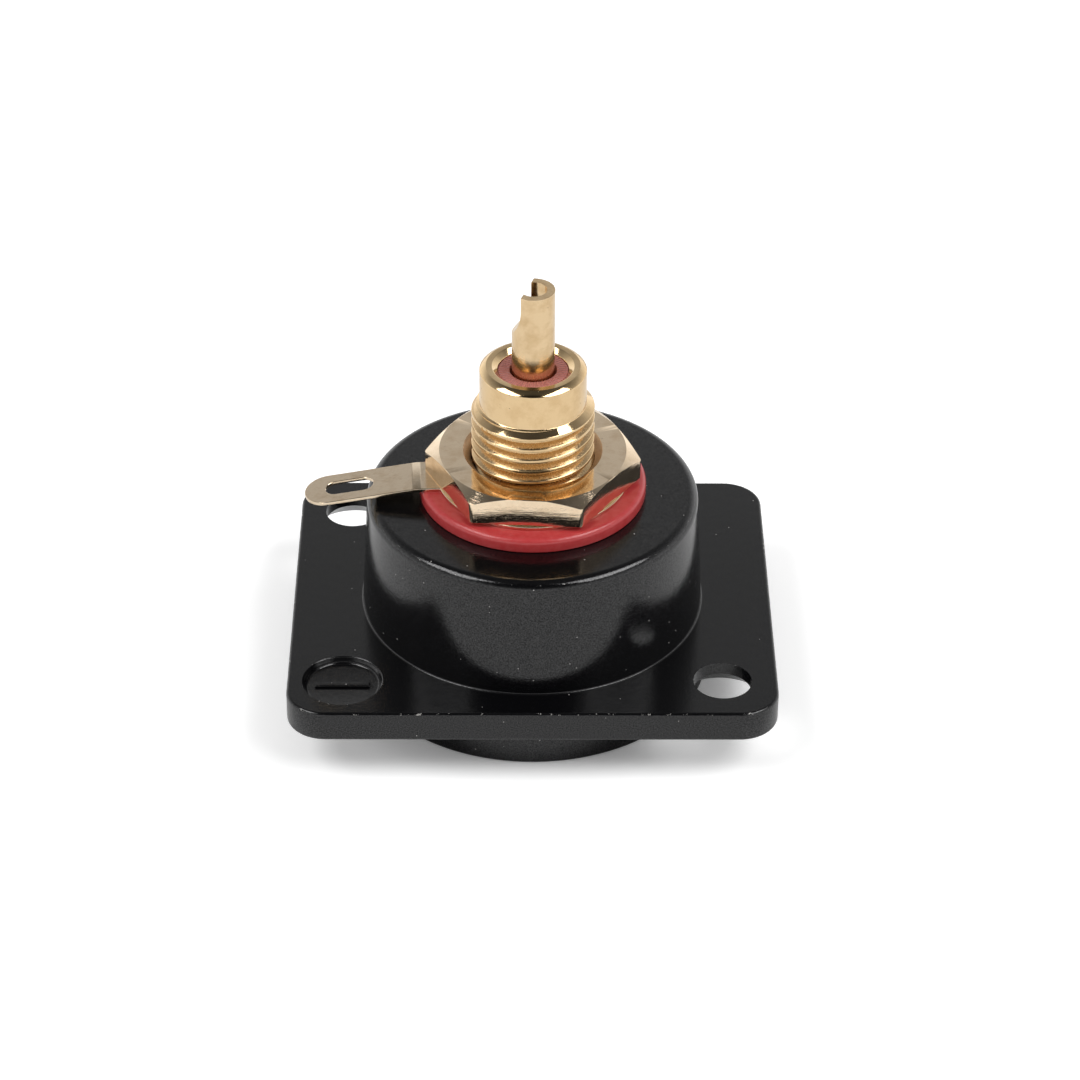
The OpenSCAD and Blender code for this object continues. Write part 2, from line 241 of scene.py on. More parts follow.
def round_upright_edges(obj, radius, segments):
    """Rounds the edges that rise by more than a millimetre, such as a plate's corners."""
    only(obj)
    bpy.ops.object.mode_set(mode="EDIT")
    bpy.ops.mesh.select_mode(type="EDGE")
    bpy.ops.mesh.select_all(action="DESELECT")
    bpy.ops.object.mode_set(mode="OBJECT")
    points = obj.data.vertices
    for edge in obj.data.edges:
        start_z, end_z = (points[i].co.z for i in edge.vertices)
        edge.select = abs(start_z - end_z) > MM
    bpy.ops.object.mode_set(mode="EDIT")
    bpy.ops.mesh.bevel(offset=radius * MM, segments=segments, affect="EDGES")
    bpy.ops.object.mode_set(mode="OBJECT")
    return obj


def bevel_edges(obj, width, segments=4, angle=30):
    """Rounds every edge sharper than this angle, as a tumbled or plated part is."""
    only(obj)
    bevel = obj.modifiers.new("edge", "BEVEL")
    bevel.width = width * MM
    bevel.segments = segments
    bevel.limit_method = "ANGLE"
    bevel.angle_limit = math.radians(angle)
    bpy.ops.object.modifier_apply(modifier=bevel.name)
    return obj


def done(obj, node, material):
    """Last steps of every piece: clean mesh, smooth shading, finish, and what it stands for."""
    only(obj)
    bpy.ops.object.mode_set(mode="EDIT")
    weld()
    face_outwards()
    bpy.ops.object.mode_set(mode="OBJECT")
    bpy.ops.object.shade_smooth_by_angle(angle=SMOOTH_ANGLE)
    weighted = obj.modifiers.new("normals", "WEIGHTED_NORMAL")
    weighted.keep_sharp = True
    bpy.ops.object.modifier_apply(modifier=weighted.name)
    obj.data.materials.clear()
    obj.data.materials.append(material)
    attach(obj, "root")
    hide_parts(node)
    low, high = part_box(node)
    print(obj.name, "mm", [round(d / MM, 2) for d in obj.dimensions],
          "CAD", [round(d / MM, 2) for d in high - low], "faces", len(obj.data.polygons))
    return obj


print("smoothed below degrees:", round(math.degrees(SMOOTH_ANGLE)))

# %% [markdown]
# ## Finishes
#
# Every finish is a tree of nodes. It could be clicked together by hand, but most trees
# use the same few moves: a noise, a mix of two colours, a bump, a change of range.
# Each move is a small function here. All of them read Object coordinates, which are
# metres in the part's own frame, so a pattern keeps its real size.

# %% Helpers for node trees
def add(tree, kind, inputs=None, **settings):
    """Adds a node, sets its properties, and links or sets its inputs by name or number."""
    made = tree.nodes.new(kind)
    for key, value in settings.items():
        setattr(made, key, value)
    for key, value in (inputs or {}).items():
        socket = made.inputs[key]
        if isinstance(value, bpy.types.NodeSocket):
            tree.links.new(value, socket)
        else:
            socket.default_value = value
    return made


def math_node(tree, operation, *values):
    return add(tree, "ShaderNodeMath", dict(enumerate(values)), operation=operation).outputs[0]


def millimetres(tree):
    """Object coordinates scaled from metres to millimetres."""
    place = tree.nodes.new("ShaderNodeTexCoord").outputs["Object"]
    return add(tree, "ShaderNodeVectorMath", {0: place, "Scale": 1 / MM}, operation="SCALE").outputs[0]


def axes(tree):
    """The three Object coordinates in millimetres."""
    return add(tree, "ShaderNodeSeparateXYZ", {0: millimetres(tree)}).outputs


def length_of(tree, *parts):
    """The length of a vector that is given by its parts."""
    packed = add(tree, "ShaderNodeCombineXYZ", dict(enumerate(parts))).outputs[0]
    return add(tree, "ShaderNodeVectorMath", {0: packed}, operation="LENGTH").outputs["Value"]


def noise(tree, scale, detail=2.0, roughness=0.5, place=None, **settings):
    """Noise with about this many waves in a millimetre."""
    place = millimetres(tree) if place is None else place
    return add(tree, "ShaderNodeTexNoise", {"Vector": place, "Scale": scale, "Detail": detail,
                                            "Roughness": roughness}, **settings).outputs["Fac"]


def blend(tree, factor, first, second, **settings):
    """Mixes two colours, each a socket or three numbers."""
    first, second = (c if isinstance(c, bpy.types.NodeSocket) else tuple(c) + (1,)
                     for c in (first, second))
    return add(tree, "ShaderNodeMix", {"Factor": factor, "A": first, "B": second},
               data_type="RGBA", **settings).outputs["Result"]


def rescaled(tree, value, low, high, start=0.0, end=1.0):
    """Turns the range from start to end into the range from low to high."""
    return add(tree, "ShaderNodeMapRange", {"Value": value, "From Min": start, "From Max": end,
                                            "To Min": low, "To Max": high}).outputs[0]


def bump(tree, height, depth, under=None):
    """Dents of this depth in millimetres, on top of the dents of another bump."""
    inputs = {"Height": height, "Distance": depth * MM}
    if under is not None:
        inputs["Normal"] = under
    return add(tree, "ShaderNodeBump", inputs).outputs[0]


def colour_ramp(tree, value, stops):
    """A grey ramp from (position, level) pairs."""
    ramp = add(tree, "ShaderNodeValToRGB", {"Fac": value})
    elements = ramp.color_ramp.elements
    elements.remove(elements[1])
    for i, (position, level) in enumerate(stops):
        element = elements[0] if i == 0 else elements.new(position)
        element.position = position
        element.color = (level,) * 3 + (1,)
    return ramp.outputs["Color"]


print("node helpers are ready")

# %% [markdown]
# A material and a group start the same way each time: an empty tree, its way in and
# its way out. The shader stays in the material itself, and a group hands back one
# number that changes over the surface, so that it can feed a colour, a roughness or
# a bump alike.

# %% Helpers for materials and groups
def new_material(name):
    """An empty node material with a Principled shader that is already on the output."""
    made = bpy.data.materials.new(name)
    made.use_nodes = True
    tree = made.node_tree
    tree.nodes.clear()
    shader = tree.nodes.new("ShaderNodeBsdfPrincipled")
    output = tree.nodes.new("ShaderNodeOutputMaterial")
    tree.links.new(shader.outputs[0], output.inputs["Surface"])
    return made, tree, shader


def connect(tree, shader, **sockets):
    """Links values to a shader's sockets, whose spaces are written as underscores."""
    for key, value in sockets.items():
        tree.links.new(value, shader.inputs[key.replace("_", " ")])


def new_group(name, inputs, output):
    """A node group with float inputs {name: default} and one float output."""
    tree = bpy.data.node_groups.new(name, "ShaderNodeTree")
    for key, default in inputs.items():
        tree.interface.new_socket(key, in_out="INPUT", socket_type="NodeSocketFloat").default_value = default
    tree.interface.new_socket(output, in_out="OUTPUT", socket_type="NodeSocketFloat")
    return tree, tree.nodes.new("NodeGroupInput").outputs, tree.nodes.new("NodeGroupOutput").inputs[output]


def use(tree, group, **inputs):
    """Places a group in a material, with its own values."""
    return add(tree, "ShaderNodeGroup", {k.replace("_", " "): v for k, v in inputs.items()},
               node_tree=group).outputs[0]


print("material and group helpers are ready")

# %% [markdown]
# ### Turning marks
#
# A lathe tool leaves fine rings round the axis, on flat faces and on round sides. A
# Wave texture would space them evenly, which looks like a record. A noise that reads
# only the distance from the axis and the height gives rings of uneven width and depth.
# All turned parts have them, so they are a group with the spacing as an input.

# %% Turning marks
def build_turning_marks():
    tree, given, height = new_group("turning_marks", {"Rings per mm": 14.0, "Unevenness": 0.3}, "Height")
    x, y, z = axes(tree)
    section = add(tree, "ShaderNodeCombineXYZ", {0: length_of(tree, x, y), 1: z}).outputs[0]
    rings = noise(tree, given["Rings per mm"], 3.0, 0.65, section, noise_dimensions="2D")
    wander = math_node(tree, "SUBTRACT", noise(tree, 1.3), 0.5)
    blur = math_node(tree, "MULTIPLY", wander, given["Unevenness"])
    tree.links.new(math_node(tree, "ADD", rings, blur), height)
    return tree


TURNING_MARKS = build_turning_marks()
print("turning marks:", len(TURNING_MARKS.nodes), "nodes")

# %% [markdown]
# ### Specks
#
# Dust lies on the paint and the plastic, and the plate has tiny pits. Both are small
# round spots, far apart and unevenly spread. Noise would give blots. A cell texture
# gives each cell a random colour: a spot is drawn in the middle of those cells whose
# colour falls below a share, so share and size can be set for each finish.

# %% Specks
def build_specks():
    tree, given, mask = new_group("specks", {"Per mm": 0.9, "Size": 0.05, "Share": 0.4}, "Mask")
    cells = add(tree, "ShaderNodeTexVoronoi", {"Vector": millimetres(tree), "Scale": given["Per mm"]})
    chance = add(tree, "ShaderNodeSeparateColor", {0: cells.outputs["Color"]}).outputs[0]
    chosen = math_node(tree, "LESS_THAN", chance, given["Share"])
    near = math_node(tree, "LESS_THAN", cells.outputs["Distance"], given["Size"])
    tree.links.new(math_node(tree, "MULTIPLY", chosen, near), mask)
    return tree


SPECKS = build_specks()
print("specks:", len(SPECKS.nodes), "nodes")

# %% [markdown]
# ### Wear along a line
#
# Paint chips off at edges first. The Pointiness output finds edges too, but it depends
# on how finely the mesh is divided. The group takes the distance to an edge from the
# material instead, and makes bare metal where that distance is small and a rough
# noise says so, which gives ragged chips with gaps between them.

# %% Wear
def build_line_wear():
    tree, given, mask = new_group("line_wear", {"Distance": 1.0, "Width": 0.1, "Share": 0.5}, "Mask")
    ragged = noise(tree, 2.6, 6.0, 0.7)
    bare = math_node(tree, "GREATER_THAN", ragged, math_node(tree, "SUBTRACT", 1.0, given["Share"]))
    wide = math_node(tree, "MULTIPLY", given["Width"], math_node(tree, "MULTIPLY", ragged, 2.0))
    near = math_node(tree, "LESS_THAN", given["Distance"], wide)
    tree.links.new(math_node(tree, "MULTIPLY", bare, near), mask)
    return tree


LINE_WEAR = build_line_wear()
print("node groups:", [g.name for g in bpy.data.node_groups])

# %% [markdown]
# ### Where the plate differs
#
# The flats of the nut keep fine lines from the bar that it is cut from, and the
# sloping flanks of a thread stay rougher than its crests. Both could be painted on by
# hand. Here the face's own direction tells them apart, so no face has to be picked.

# %% Masks for the plate
def steepness(tree):
    """How much a face looks up or down: 0 for an upright face and 1 for a level one."""
    normal = tree.nodes.new("ShaderNodeTexCoord").outputs["Normal"]
    return math_node(tree, "ABSOLUTE", add(tree, "ShaderNodeSeparateXYZ", {0: normal}).outputs[2])


def between(tree, value, low, high):
    """1 where a value lies between two limits."""
    above = math_node(tree, "GREATER_THAN", value, low)
    return math_node(tree, "MULTIPLY", above, math_node(tree, "LESS_THAN", value, high))


def drawn_streaks(tree):
    """Fine lines along the flats of a nut."""
    along = add(tree, "ShaderNodeVectorMath", {0: millimetres(tree), 1: (0.5, 0.5, 4.0)},
                operation="MULTIPLY").outputs[0]
    return noise(tree, 1.0, 5.0, 0.65, along)


def flanks(tree, z_low, z_high, r_low, r_high):
    """1 on the sloping faces of a zone round the axis."""
    x, y, z = axes(tree)
    zone = math_node(tree, "MULTIPLY", between(tree, z, z_low, z_high),
                     between(tree, length_of(tree, x, y), r_low, r_high))
    return math_node(tree, "MULTIPLY", zone, between(tree, steepness(tree), 0.35, 0.95))


print("plate masks: steepness, drawn streaks, flanks")

# %% [markdown]
# ### Gold plate
#
# The plate is a thin pale gold over turned brass. It takes almost all its looks from
# what it mirrors, so the base colour stays pale and the roughness low. Turning marks
# break the mirror a little, pits darken it in places, and weak stains make the plate
# look handled. The sloping faces of a thread's grooves and of a countersink are painted
# darker, as painted shade. Four parts have it in four grades, so one function makes them all.

# %% Gold plate in four grades
# The second tint darkens sloping faces in grooves and countersinks as painted shade; stains and pits are the
# plate's own.
STAIN_TINT, PAINTED_SHADE_TINT, PIT_TONE = (1.0, 1.3, 1.7), (0.80, 0.76, 0.72), 0.25


def gold_plate(name, colour, roughness, ring_bump, rings_per_mm, grain_bump, stain=0.14,
               streak_bump=0.0, satin=None, satin_roughness=0.0):
    """satin is (z_low, z_high, r_low, r_high) of a zone whose sloping faces are rough, and darker with
    painted shade.
    """
    made, tree, shader = new_material(name)
    marks = use(tree, TURNING_MARKS, Rings_per_mm=rings_per_mm)
    cloud, grain = noise(tree, 0.9, 9.0, 0.65), noise(tree, 7.0, 3.0)
    stained = [c * (1 - stain * k) for c, k in zip(colour, STAIN_TINT)]
    tone = blend(tree, colour_ramp(tree, cloud, [(0.45, 0.0), (0.7, 1.0)]), colour, stained)
    pits = use(tree, SPECKS, Per_mm=3.4, Size=0.12, Share=0.08)
    tone = blend(tree, math_node(tree, "MULTIPLY", pits, 0.75), tone, [c * PIT_TONE for c in colour])
    rough = math_node(tree, "MULTIPLY_ADD", pits, 0.3,
                      rescaled(tree, marks, roughness * 0.7, roughness * 1.35))
    if satin:
        sloping = flanks(tree, *satin)
        mottled = math_node(tree, "MULTIPLY", grain, 2 * satin_roughness)
        rough = math_node(tree, "MAXIMUM", rough, math_node(tree, "MULTIPLY", sloping, mottled))
        # Painted shade: the sloping faces of this zone, in the thread's grooves and the countersink, are
        # darkened.
        tone = blend(tree, sloping, tone, [c * k for c, k in zip(colour, PAINTED_SHADE_TINT)])
    height, depth = marks, ring_bump
    if streak_bump:
        upright = math_node(tree, "LESS_THAN", steepness(tree), 0.3)
        faint_marks = math_node(tree, "MULTIPLY", marks, ring_bump / streak_bump)
        height = add(tree, "ShaderNodeMix", {"Factor": upright, "A": faint_marks,
                                             "B": drawn_streaks(tree)}).outputs["Result"]
        depth = streak_bump
    normal = bump(tree, grain, grain_bump, under=bump(tree, height, depth))
    connect(tree, shader, Base_Color=tone, Roughness=rough, Normal=normal)
    shader.inputs["Metallic"].default_value = 1.0
    return made


JACK_GOLD = gold_plate("jack_gold_plate", (0.80, 0.585, 0.33), 0.09, 0.0010, 9.0, 0.0013,
                       satin=(9.0, 14.4, 3.2, 3.85), satin_roughness=0.22)
NUT_GOLD = gold_plate("nut_gold_plate", (0.92, 0.74, 0.53), 0.08, 0.0014, 12.0, 0.0008,
                      streak_bump=0.008, satin=(10.0, 11.3, 3.9, 4.5), satin_roughness=0.5)
CONTACT_GOLD = gold_plate("contact_gold_plate", (0.80, 0.60, 0.36), 0.18, 0.0012, 7.0, 0.0045, stain=0.2)
LUG_GOLD = gold_plate("lug_gold_plate", (0.78, 0.64, 0.47), 0.17, 0.0006, 4.0, 0.0040)
print("gold grades:", [m.name for m in (JACK_GOLD, NUT_GOLD, CONTACT_GOLD, LUG_GOLD)])

# %% [markdown]
# ### Where the paint wears
#
# Bare metal shows along the flange's upper edge, the barrel's rim and the mouths of
# the holes. An edge mask could be baked or painted. These edges are straight lines and
# circles, so a few nodes compute the distance to the nearest one from the casting's
# own sizes, and the mask fits exactly.

# %% Distances to the casting's edges
PLATE_W, PLATE_D, CORNER_R = 31.0, 26.0, 2.5
HOLE_X, HOLE_Y, SCREW_R, POCKET_R = 12.0, 9.5, 1.85, 2.575
EDGE_DEPTH = 0.06
BARREL_RIM_R, BARREL_RIM_Z = 10.44, 8.01
RIM_SPARING, HOLE_SPARING = 3.0, 2.5
ROUND_EDGES = ((-HOLE_X, -HOLE_Y, POCKET_R), (HOLE_X, -HOLE_Y, SCREW_R), (-HOLE_X, HOLE_Y, SCREW_R))


def distance_to_edges(tree):
    """Millimetres to the nearest worn edge, counted larger where an edge is worn less."""
    x, y, z = axes(tree)
    over = []
    for value, half in ((x, PLATE_W / 2), (y, PLATE_D / 2)):
        inside = math_node(tree, "SUBTRACT", math_node(tree, "ABSOLUTE", value), half - CORNER_R)
        over.append(math_node(tree, "MAXIMUM", inside, 0.0))
    border = math_node(tree, "SUBTRACT", length_of(tree, *over), CORNER_R - EDGE_DEPTH)
    near = length_of(tree, border, math_node(tree, "ADD", z, EDGE_DEPTH))
    rim = length_of(tree, math_node(tree, "SUBTRACT", length_of(tree, x, y), BARREL_RIM_R),
                    math_node(tree, "SUBTRACT", z, BARREL_RIM_Z))
    near = math_node(tree, "MINIMUM", near, math_node(tree, "MULTIPLY", rim, RIM_SPARING))
    for at_x, at_y, radius in ROUND_EDGES:
        across = length_of(tree, math_node(tree, "SUBTRACT", x, at_x), math_node(tree, "SUBTRACT", y, at_y))
        ring = length_of(tree, math_node(tree, "SUBTRACT", across, radius), z)
        near = math_node(tree, "MINIMUM", near, math_node(tree, "MULTIPLY", ring, HOLE_SPARING))
    return near


print("worn edges:", 2 + len(ROUND_EDGES))

# %% [markdown]
# ### Black gloss paint
#
# The casting is sprayed black. A single black with a low roughness would look like
# plastic film. Under the gloss lies the slight orange peel of sprayed paint, a fine
# grain spreads its highlights, dust lies on it, and chips at the edges show metal. The
# base is nearly black, so that almost all the light on it is what the gloss mirrors.

# %% Black paint
INK, DUST_GREY, BARE_GREY = (0.0025, 0.0025, 0.003), (0.32, 0.31, 0.30), (0.42, 0.41, 0.39)
PAINT_IOR = 1.52


def black_paint():
    made, tree, shader = new_material("black_gloss_paint")
    peel, grain, speckle = noise(tree, 1.4), noise(tree, 9.0, 3.0), noise(tree, 12.0)
    dust = use(tree, SPECKS, Per_mm=2.2, Size=0.09, Share=0.10)
    worn = use(tree, LINE_WEAR, Distance=distance_to_edges(tree), Width=0.055, Share=0.38)
    tone = blend(tree, worn, blend(tree, dust, INK, DUST_GREY), BARE_GREY)
    rough = math_node(tree, "MULTIPLY_ADD", math_node(tree, "MAXIMUM", dust, worn), 0.3,
                      rescaled(tree, grain, 0.08, 0.21, 0.3, 0.7))
    normal = bump(tree, grain, 0.0045, under=bump(tree, peel, 0.006))
    connect(tree, shader, Base_Color=tone, Roughness=rough, Normal=normal,
            Metallic=math_node(tree, "MULTIPLY", worn, 0.8),
            Specular_IOR_Level=rescaled(tree, speckle, 0.25, 0.75, 0.3, 0.7))
    shader.inputs["IOR"].default_value = PAINT_IOR
    return made


BLACK_PAINT = black_paint()
print("paint nodes:", len(BLACK_PAINT.node_tree.nodes))

# %% [markdown]
# ### Plastics
#
# The red washers are moulded and have a soft gloss. The dull red bush is turned, and
# its face has fine ribs that run outwards. The white bush is a low-friction plastic.
# They differ in colour, gloss and ribs alone, so one function makes all three: clouds
# in the colour, a fine grain in roughness and bump, and a little dust.

# %% Plastics
DUST_ON_PLASTIC, RIB_SHARE = (0.7, 0.68, 0.66), 1.2


def plastic(name, colour, roughness, mottle, bump_depth, ribs=0):
    made, tree, shader = new_material(name)
    cloud, grain = noise(tree, 2.2, 5.0), noise(tree, 16.0)
    dust = use(tree, SPECKS, Per_mm=0.9, Size=0.05, Share=0.3)
    paler = [c + (1 - c) * mottle * 0.4 for c in colour]
    deeper = [c * (1 - mottle) for c in colour]
    tone = blend(tree, dust, blend(tree, cloud, deeper, paler), DUST_ON_PLASTIC)
    rough = rescaled(tree, grain, roughness * 0.85, roughness * 1.15)
    height = grain
    if ribs:
        x, y, z = axes(tree)
        angle = math_node(tree, "ARCTAN2", y, x)
        wave = math_node(tree, "SINE", math_node(tree, "MULTIPLY", angle, float(ribs)))
        height = math_node(tree, "MULTIPLY_ADD", wave, RIB_SHARE, height)
    connect(tree, shader, Base_Color=tone, Roughness=rough, Normal=bump(tree, height, bump_depth))
    return made


RED_PLASTIC = plastic("red_plastic", (0.47, 0.028, 0.030), 0.20, 0.10, 0.010)
PINK_PLASTIC = plastic("dull_red_plastic", (0.50, 0.13, 0.10), 0.42, 0.2, 0.03, ribs=52)
WHITE_PLASTIC = plastic("white_plastic", (0.80, 0.78, 0.74), 0.42, 0.05, 0.003)
print("materials:", sorted(m.name for m in bpy.data.materials))

# %% [markdown]
# ## The jack body
#
# The real jack is turned from one brass bar: a plug barrel in front, a clamping flange,
# a stem for the thread and a plain nose. It could be stacked from cylinders, but then
# the steps would have to be joined. One section, spun, has all of them, with the wide
# round of the nose's edge drawn as an arc.

# %% Turn the blank
STEM_R, NOSE_R = 3.9, 3.38
STEM_TOP, STEM_END, NOSE_END = 14.55, 14.85, 17.5
NOSE_ROUND, NOSE_LOW, NOSE_HIGH = 1.31, 44, 66
BORE_EDGE, BORE_EDGE_DEPTH = 0.36, 0.28
PLUG_R, PLUG_BORE_R, PLUG_MOUTH = 4.15, 3.5, -4.6
CLAMP_R, CLAMP_Z, CLAMP_TOP = 5.75, 3.4, 5.2
CHAMFER, BORE_CHAMFER = 0.3, 0.15
REAR_BORE_R, STEM_BORE_R = 2.23, 2.68
SEAT_Z, SLEEVE_END = 4.05, 12.6

nose_edge = arc(NOSE_R - NOSE_ROUND * math.cos(math.radians(NOSE_LOW)),
                NOSE_END - NOSE_ROUND * math.sin(math.radians(NOSE_HIGH)), NOSE_ROUND, NOSE_LOW, NOSE_HIGH)
jack = turned("jack_turned", [
    (PLUG_BORE_R + BORE_CHAMFER, PLUG_MOUTH), (PLUG_R - CHAMFER, PLUG_MOUTH), (PLUG_R, PLUG_MOUTH + CHAMFER),
    (PLUG_R, CLAMP_Z), (CLAMP_R - CHAMFER, CLAMP_Z), (CLAMP_R, CLAMP_Z + CHAMFER), (CLAMP_R, CLAMP_TOP),
    (STEM_R, CLAMP_TOP), (STEM_R, STEM_TOP), (NOSE_R, STEM_END),
    *nose_edge, (REAR_BORE_R + BORE_EDGE, NOSE_END), (REAR_BORE_R, NOSE_END - BORE_EDGE_DEPTH),
    (REAR_BORE_R, SLEEVE_END), (STEM_BORE_R, SLEEVE_END), (STEM_BORE_R, SEAT_Z),
    (PLUG_BORE_R, SEAT_Z), (PLUG_BORE_R, PLUG_MOUTH + BORE_CHAMFER)])
bevel_edges(jack, 0.03)
print("blank faces:", len(jack.data.polygons))

# %% [markdown]
# ### The thread
#
# The fine thread is cut into the stem with a die. A stack of rings or a bump could
# stand for it, but a real thread climbs, and its crests run out at the end of the
# stem. So the model does what the die does, and cuts a groove. The groove is the space
# between two crests: a V with a 60 degree angle, a flat root and rounded shoulders.

# %% Draw the shape of the groove
PITCH, THREAD_DEPTH, FLANK = 0.79, 0.42, 30
CREST_FLAT, CREST_ROUND, CREST_END = 0.10, 0.08, 15
TOOL_OVERCUT = 0.02
THREAD_START, THREAD_TURNS = 10.2525, 6

root_r, outside_r = STEM_R - THREAD_DEPTH, STEM_R + TOOL_OVERCUT
crest = arc(STEM_R - CREST_ROUND, (CREST_FLAT - PITCH) / 2, CREST_ROUND, 90 - FLANK, CREST_END, 4)
flank_r, flank_z = crest[0]
half_root = -flank_z - (flank_r - root_r) * math.tan(math.radians(FLANK))
lower_half = [(root_r, -half_root)] + crest + [(outside_r, crest[-1][1] - TOOL_OVERCUT)]
upper_half = [(r, -z) for r, z in reversed(lower_half)]
groove = lower_half + upper_half + lower_half[:1]
print("groove in mm: depth", THREAD_DEPTH, "width at the root", round(2 * half_root, 3))

# %% [markdown]
# A Screw modifier winds the groove's shape upwards, turn by turn, into a solid tool. The
# tool reaches a little past the stem, so that it crosses the surface, and it is lower
# than the pitch, so that its turns don't touch. Its ends are filled, and it is cut out.

# %% Wind the tool and cut the thread
tool = draw_line([(r, 0, THREAD_START + z) for r, z in groove])
weld()
settle(tool)
wind = tool.modifiers.new("wind", "SCREW")
wind.axis = "Z"
wind.steps = wind.render_steps = TURN_STEPS
wind.iterations = THREAD_TURNS
wind.screw_offset = PITCH * MM
bpy.ops.object.modifier_apply(modifier=wind.name)
bpy.ops.object.mode_set(mode="EDIT")
bpy.ops.mesh.select_all(action="SELECT")
bpy.ops.mesh.fill_holes(sides=len(groove))
face_outwards()
bpy.ops.object.mode_set(mode="OBJECT")
print("wound tool faces:", len(tool.data.polygons))
cut(jack, tool)
done(jack, "jack_body", JACK_GOLD)

# %% [markdown]
# ## The nut
#
# A nut is sawn from hexagonal bar. The bar starts as a cylinder of six sides, turned
# to the angle at which the nut was tightened. One flat leans a little, so that it
# mirrors the bright floor above and the dark casting below. Bisect with a fill trims
# it, as a file would. The six corners are then rounded.

# %% Nut, the bar
NUT_ACROSS_FLATS, NUT_LOW, NUT_TOP, NUT_TURN = 12.0, 9.4, 11.25, math.radians(-4.2)
NUT_R = NUT_ACROSS_FLATS / 2 / math.cos(math.radians(30))
FLAT_LEAN, BITE = math.radians(3.4), 0.01
NUT_CORNER_ROUND, NUT_EDGE_ROUND = 0.2, 0.06

nut = rod("nut_turned", NUT_R, NUT_LOW, NUT_TOP, steps=6)
corner = max(nut.data.vertices, key=lambda v: v.co.x).co
nut.matrix_world = Matrix.Rotation(NUT_TURN - math.atan2(corner.y, corner.x), 4, "Z")
settle(nut)
front = Matrix.Rotation(NUT_TURN, 3, "Z") @ Vector((0, -1, 0))
lean = Matrix.Rotation(FLAT_LEAN, 3, front.cross((0, 0, 1)))
bpy.ops.object.mode_set(mode="EDIT")
bpy.ops.mesh.select_all(action="SELECT")
bpy.ops.mesh.bisect(plane_co=(front * (NUT_ACROSS_FLATS / 2 - BITE) + Vector((0, 0, NUT_LOW))) * MM,
                    plane_no=lean @ front, use_fill=True, clear_outer=True, threshold=WELD)
round_upright_edges(nut, NUT_CORNER_ROUND, segments=5)
bevel_edges(nut, NUT_EDGE_ROUND, angle=40)
print("bar faces:", len(nut.data.polygons))

# %% [markdown]
# The nut's upper face is then turned to a 30 degree cone, which leaves the curved
# chamfers at the corners, and its hole is bored and countersunk. Those curves are
# hard to model by hand. They come out right by themselves if the bar is intersected
# with a turned blank that has the cone and the hole.

# %% Nut, turned
NUT_FACE_R, NUT_BORE_R, NUT_COUNTERSINK = 5.95, 3.93, 0.5
CONE_SLOPE, SKIM = math.tan(math.radians(30)), 0.001

outer = NUT_R + 1
lathe = turned("lathe", [
    (NUT_BORE_R, NUT_LOW - 0.5), (outer, NUT_LOW - 0.5),
    (outer, NUT_TOP - (outer - NUT_FACE_R) * CONE_SLOPE),
    (NUT_FACE_R, NUT_TOP - SKIM), (NUT_BORE_R + NUT_COUNTERSINK, NUT_TOP - SKIM),
    (NUT_BORE_R, NUT_TOP - NUT_COUNTERSINK)])
cut(nut, lathe, "INTERSECT")
done(nut, "hex_nut", NUT_GOLD)

# %% [markdown]
# ## Washers
#
# Two red washers keep the jack away from the casting. Each is moulded with a shoulder
# that sits in the casting's hole, and with a soft round rim that catches the light. A
# torus and a disc would need joining, so both are spun from one section, the second
# one upside down.

# %% Washers
WASHER_BORE_R, SHOULDER_R, SHOULDER_H, RIM_ROUND, FOOT_ROUND = 4.0, 4.8, 0.8, 0.36, 0.12
BARREL_H, REAR_WASHER_R, REAR_WASHER_T = 8.2, 7.248, 0.95
CUP_END_Z, FRONT_WASHER_R, FRONT_WASHER_T = 6.2, 6.4, 1.0
UP, DOWN = 1, -1


def washer_section(face_z, radius, thickness, way):
    """Section of a washer whose shoulder side lies at face_z, and whose rim points this way."""
    low = arc(radius - FOOT_ROUND, FOOT_ROUND, FOOT_ROUND, -90, 0)
    high = arc(radius - RIM_ROUND, thickness - RIM_ROUND, RIM_ROUND, 0, 90)
    points = [(WASHER_BORE_R, -SHOULDER_H), (SHOULDER_R, -SHOULDER_H), (SHOULDER_R, 0)]
    points += low + high + [(WASHER_BORE_R, thickness)]
    return [(r, face_z + way * z) for r, z in points]


for name, node, section in (
        ("washer_rear", "rear_washer", washer_section(BARREL_H, REAR_WASHER_R, REAR_WASHER_T, UP)),
        ("washer_front", "front_washer", washer_section(CUP_END_Z, FRONT_WASHER_R, FRONT_WASHER_T, DOWN))):
    done(turned(name, section), node, RED_PLASTIC)

# %% [markdown]
# ## Bushes
#
# Two plastic tubes hold the centre contact in the jack: a short dull red one in the
# nose, and a long white one in the plug barrel, with a lip that stops the contact from
# sliding out. Both are spun, and their edges are bevelled.

# %% Bushes
REAR_IN, REAR_OUT, REAR_TOP = 1.47, 2.2, 17.2
FRONT_OUT, FRONT_MOUTH, FRONT_MOUTH_R, FRONT_STEM_R, FRONT_TOP = 3.47, -4.3, 2.15, 2.65, 12.5
SLEEVE_HOLE_R, LIP_R, LIP_LOW, LIP_Z = 2.1, 1.8, -3.95, -3.6

rear_bush = turned("bush_rear", [(REAR_IN, SLEEVE_END), (REAR_OUT, SLEEVE_END),
                                 (REAR_OUT, REAR_TOP), (REAR_IN, REAR_TOP)])
done(bevel_edges(rear_bush, 0.06), "rear_insulator", PINK_PLASTIC)
front_bush = turned("bush_front", [
    (FRONT_MOUTH_R, FRONT_MOUTH), (FRONT_OUT, FRONT_MOUTH), (FRONT_OUT, SEAT_Z), (FRONT_STEM_R, SEAT_Z),
    (FRONT_STEM_R, FRONT_TOP), (SLEEVE_HOLE_R, FRONT_TOP), (SLEEVE_HOLE_R, LIP_Z), (LIP_R, LIP_Z),
    (LIP_R, LIP_LOW)])
done(bevel_edges(front_bush, 0.04), "front_insulator", WHITE_PLASTIC)

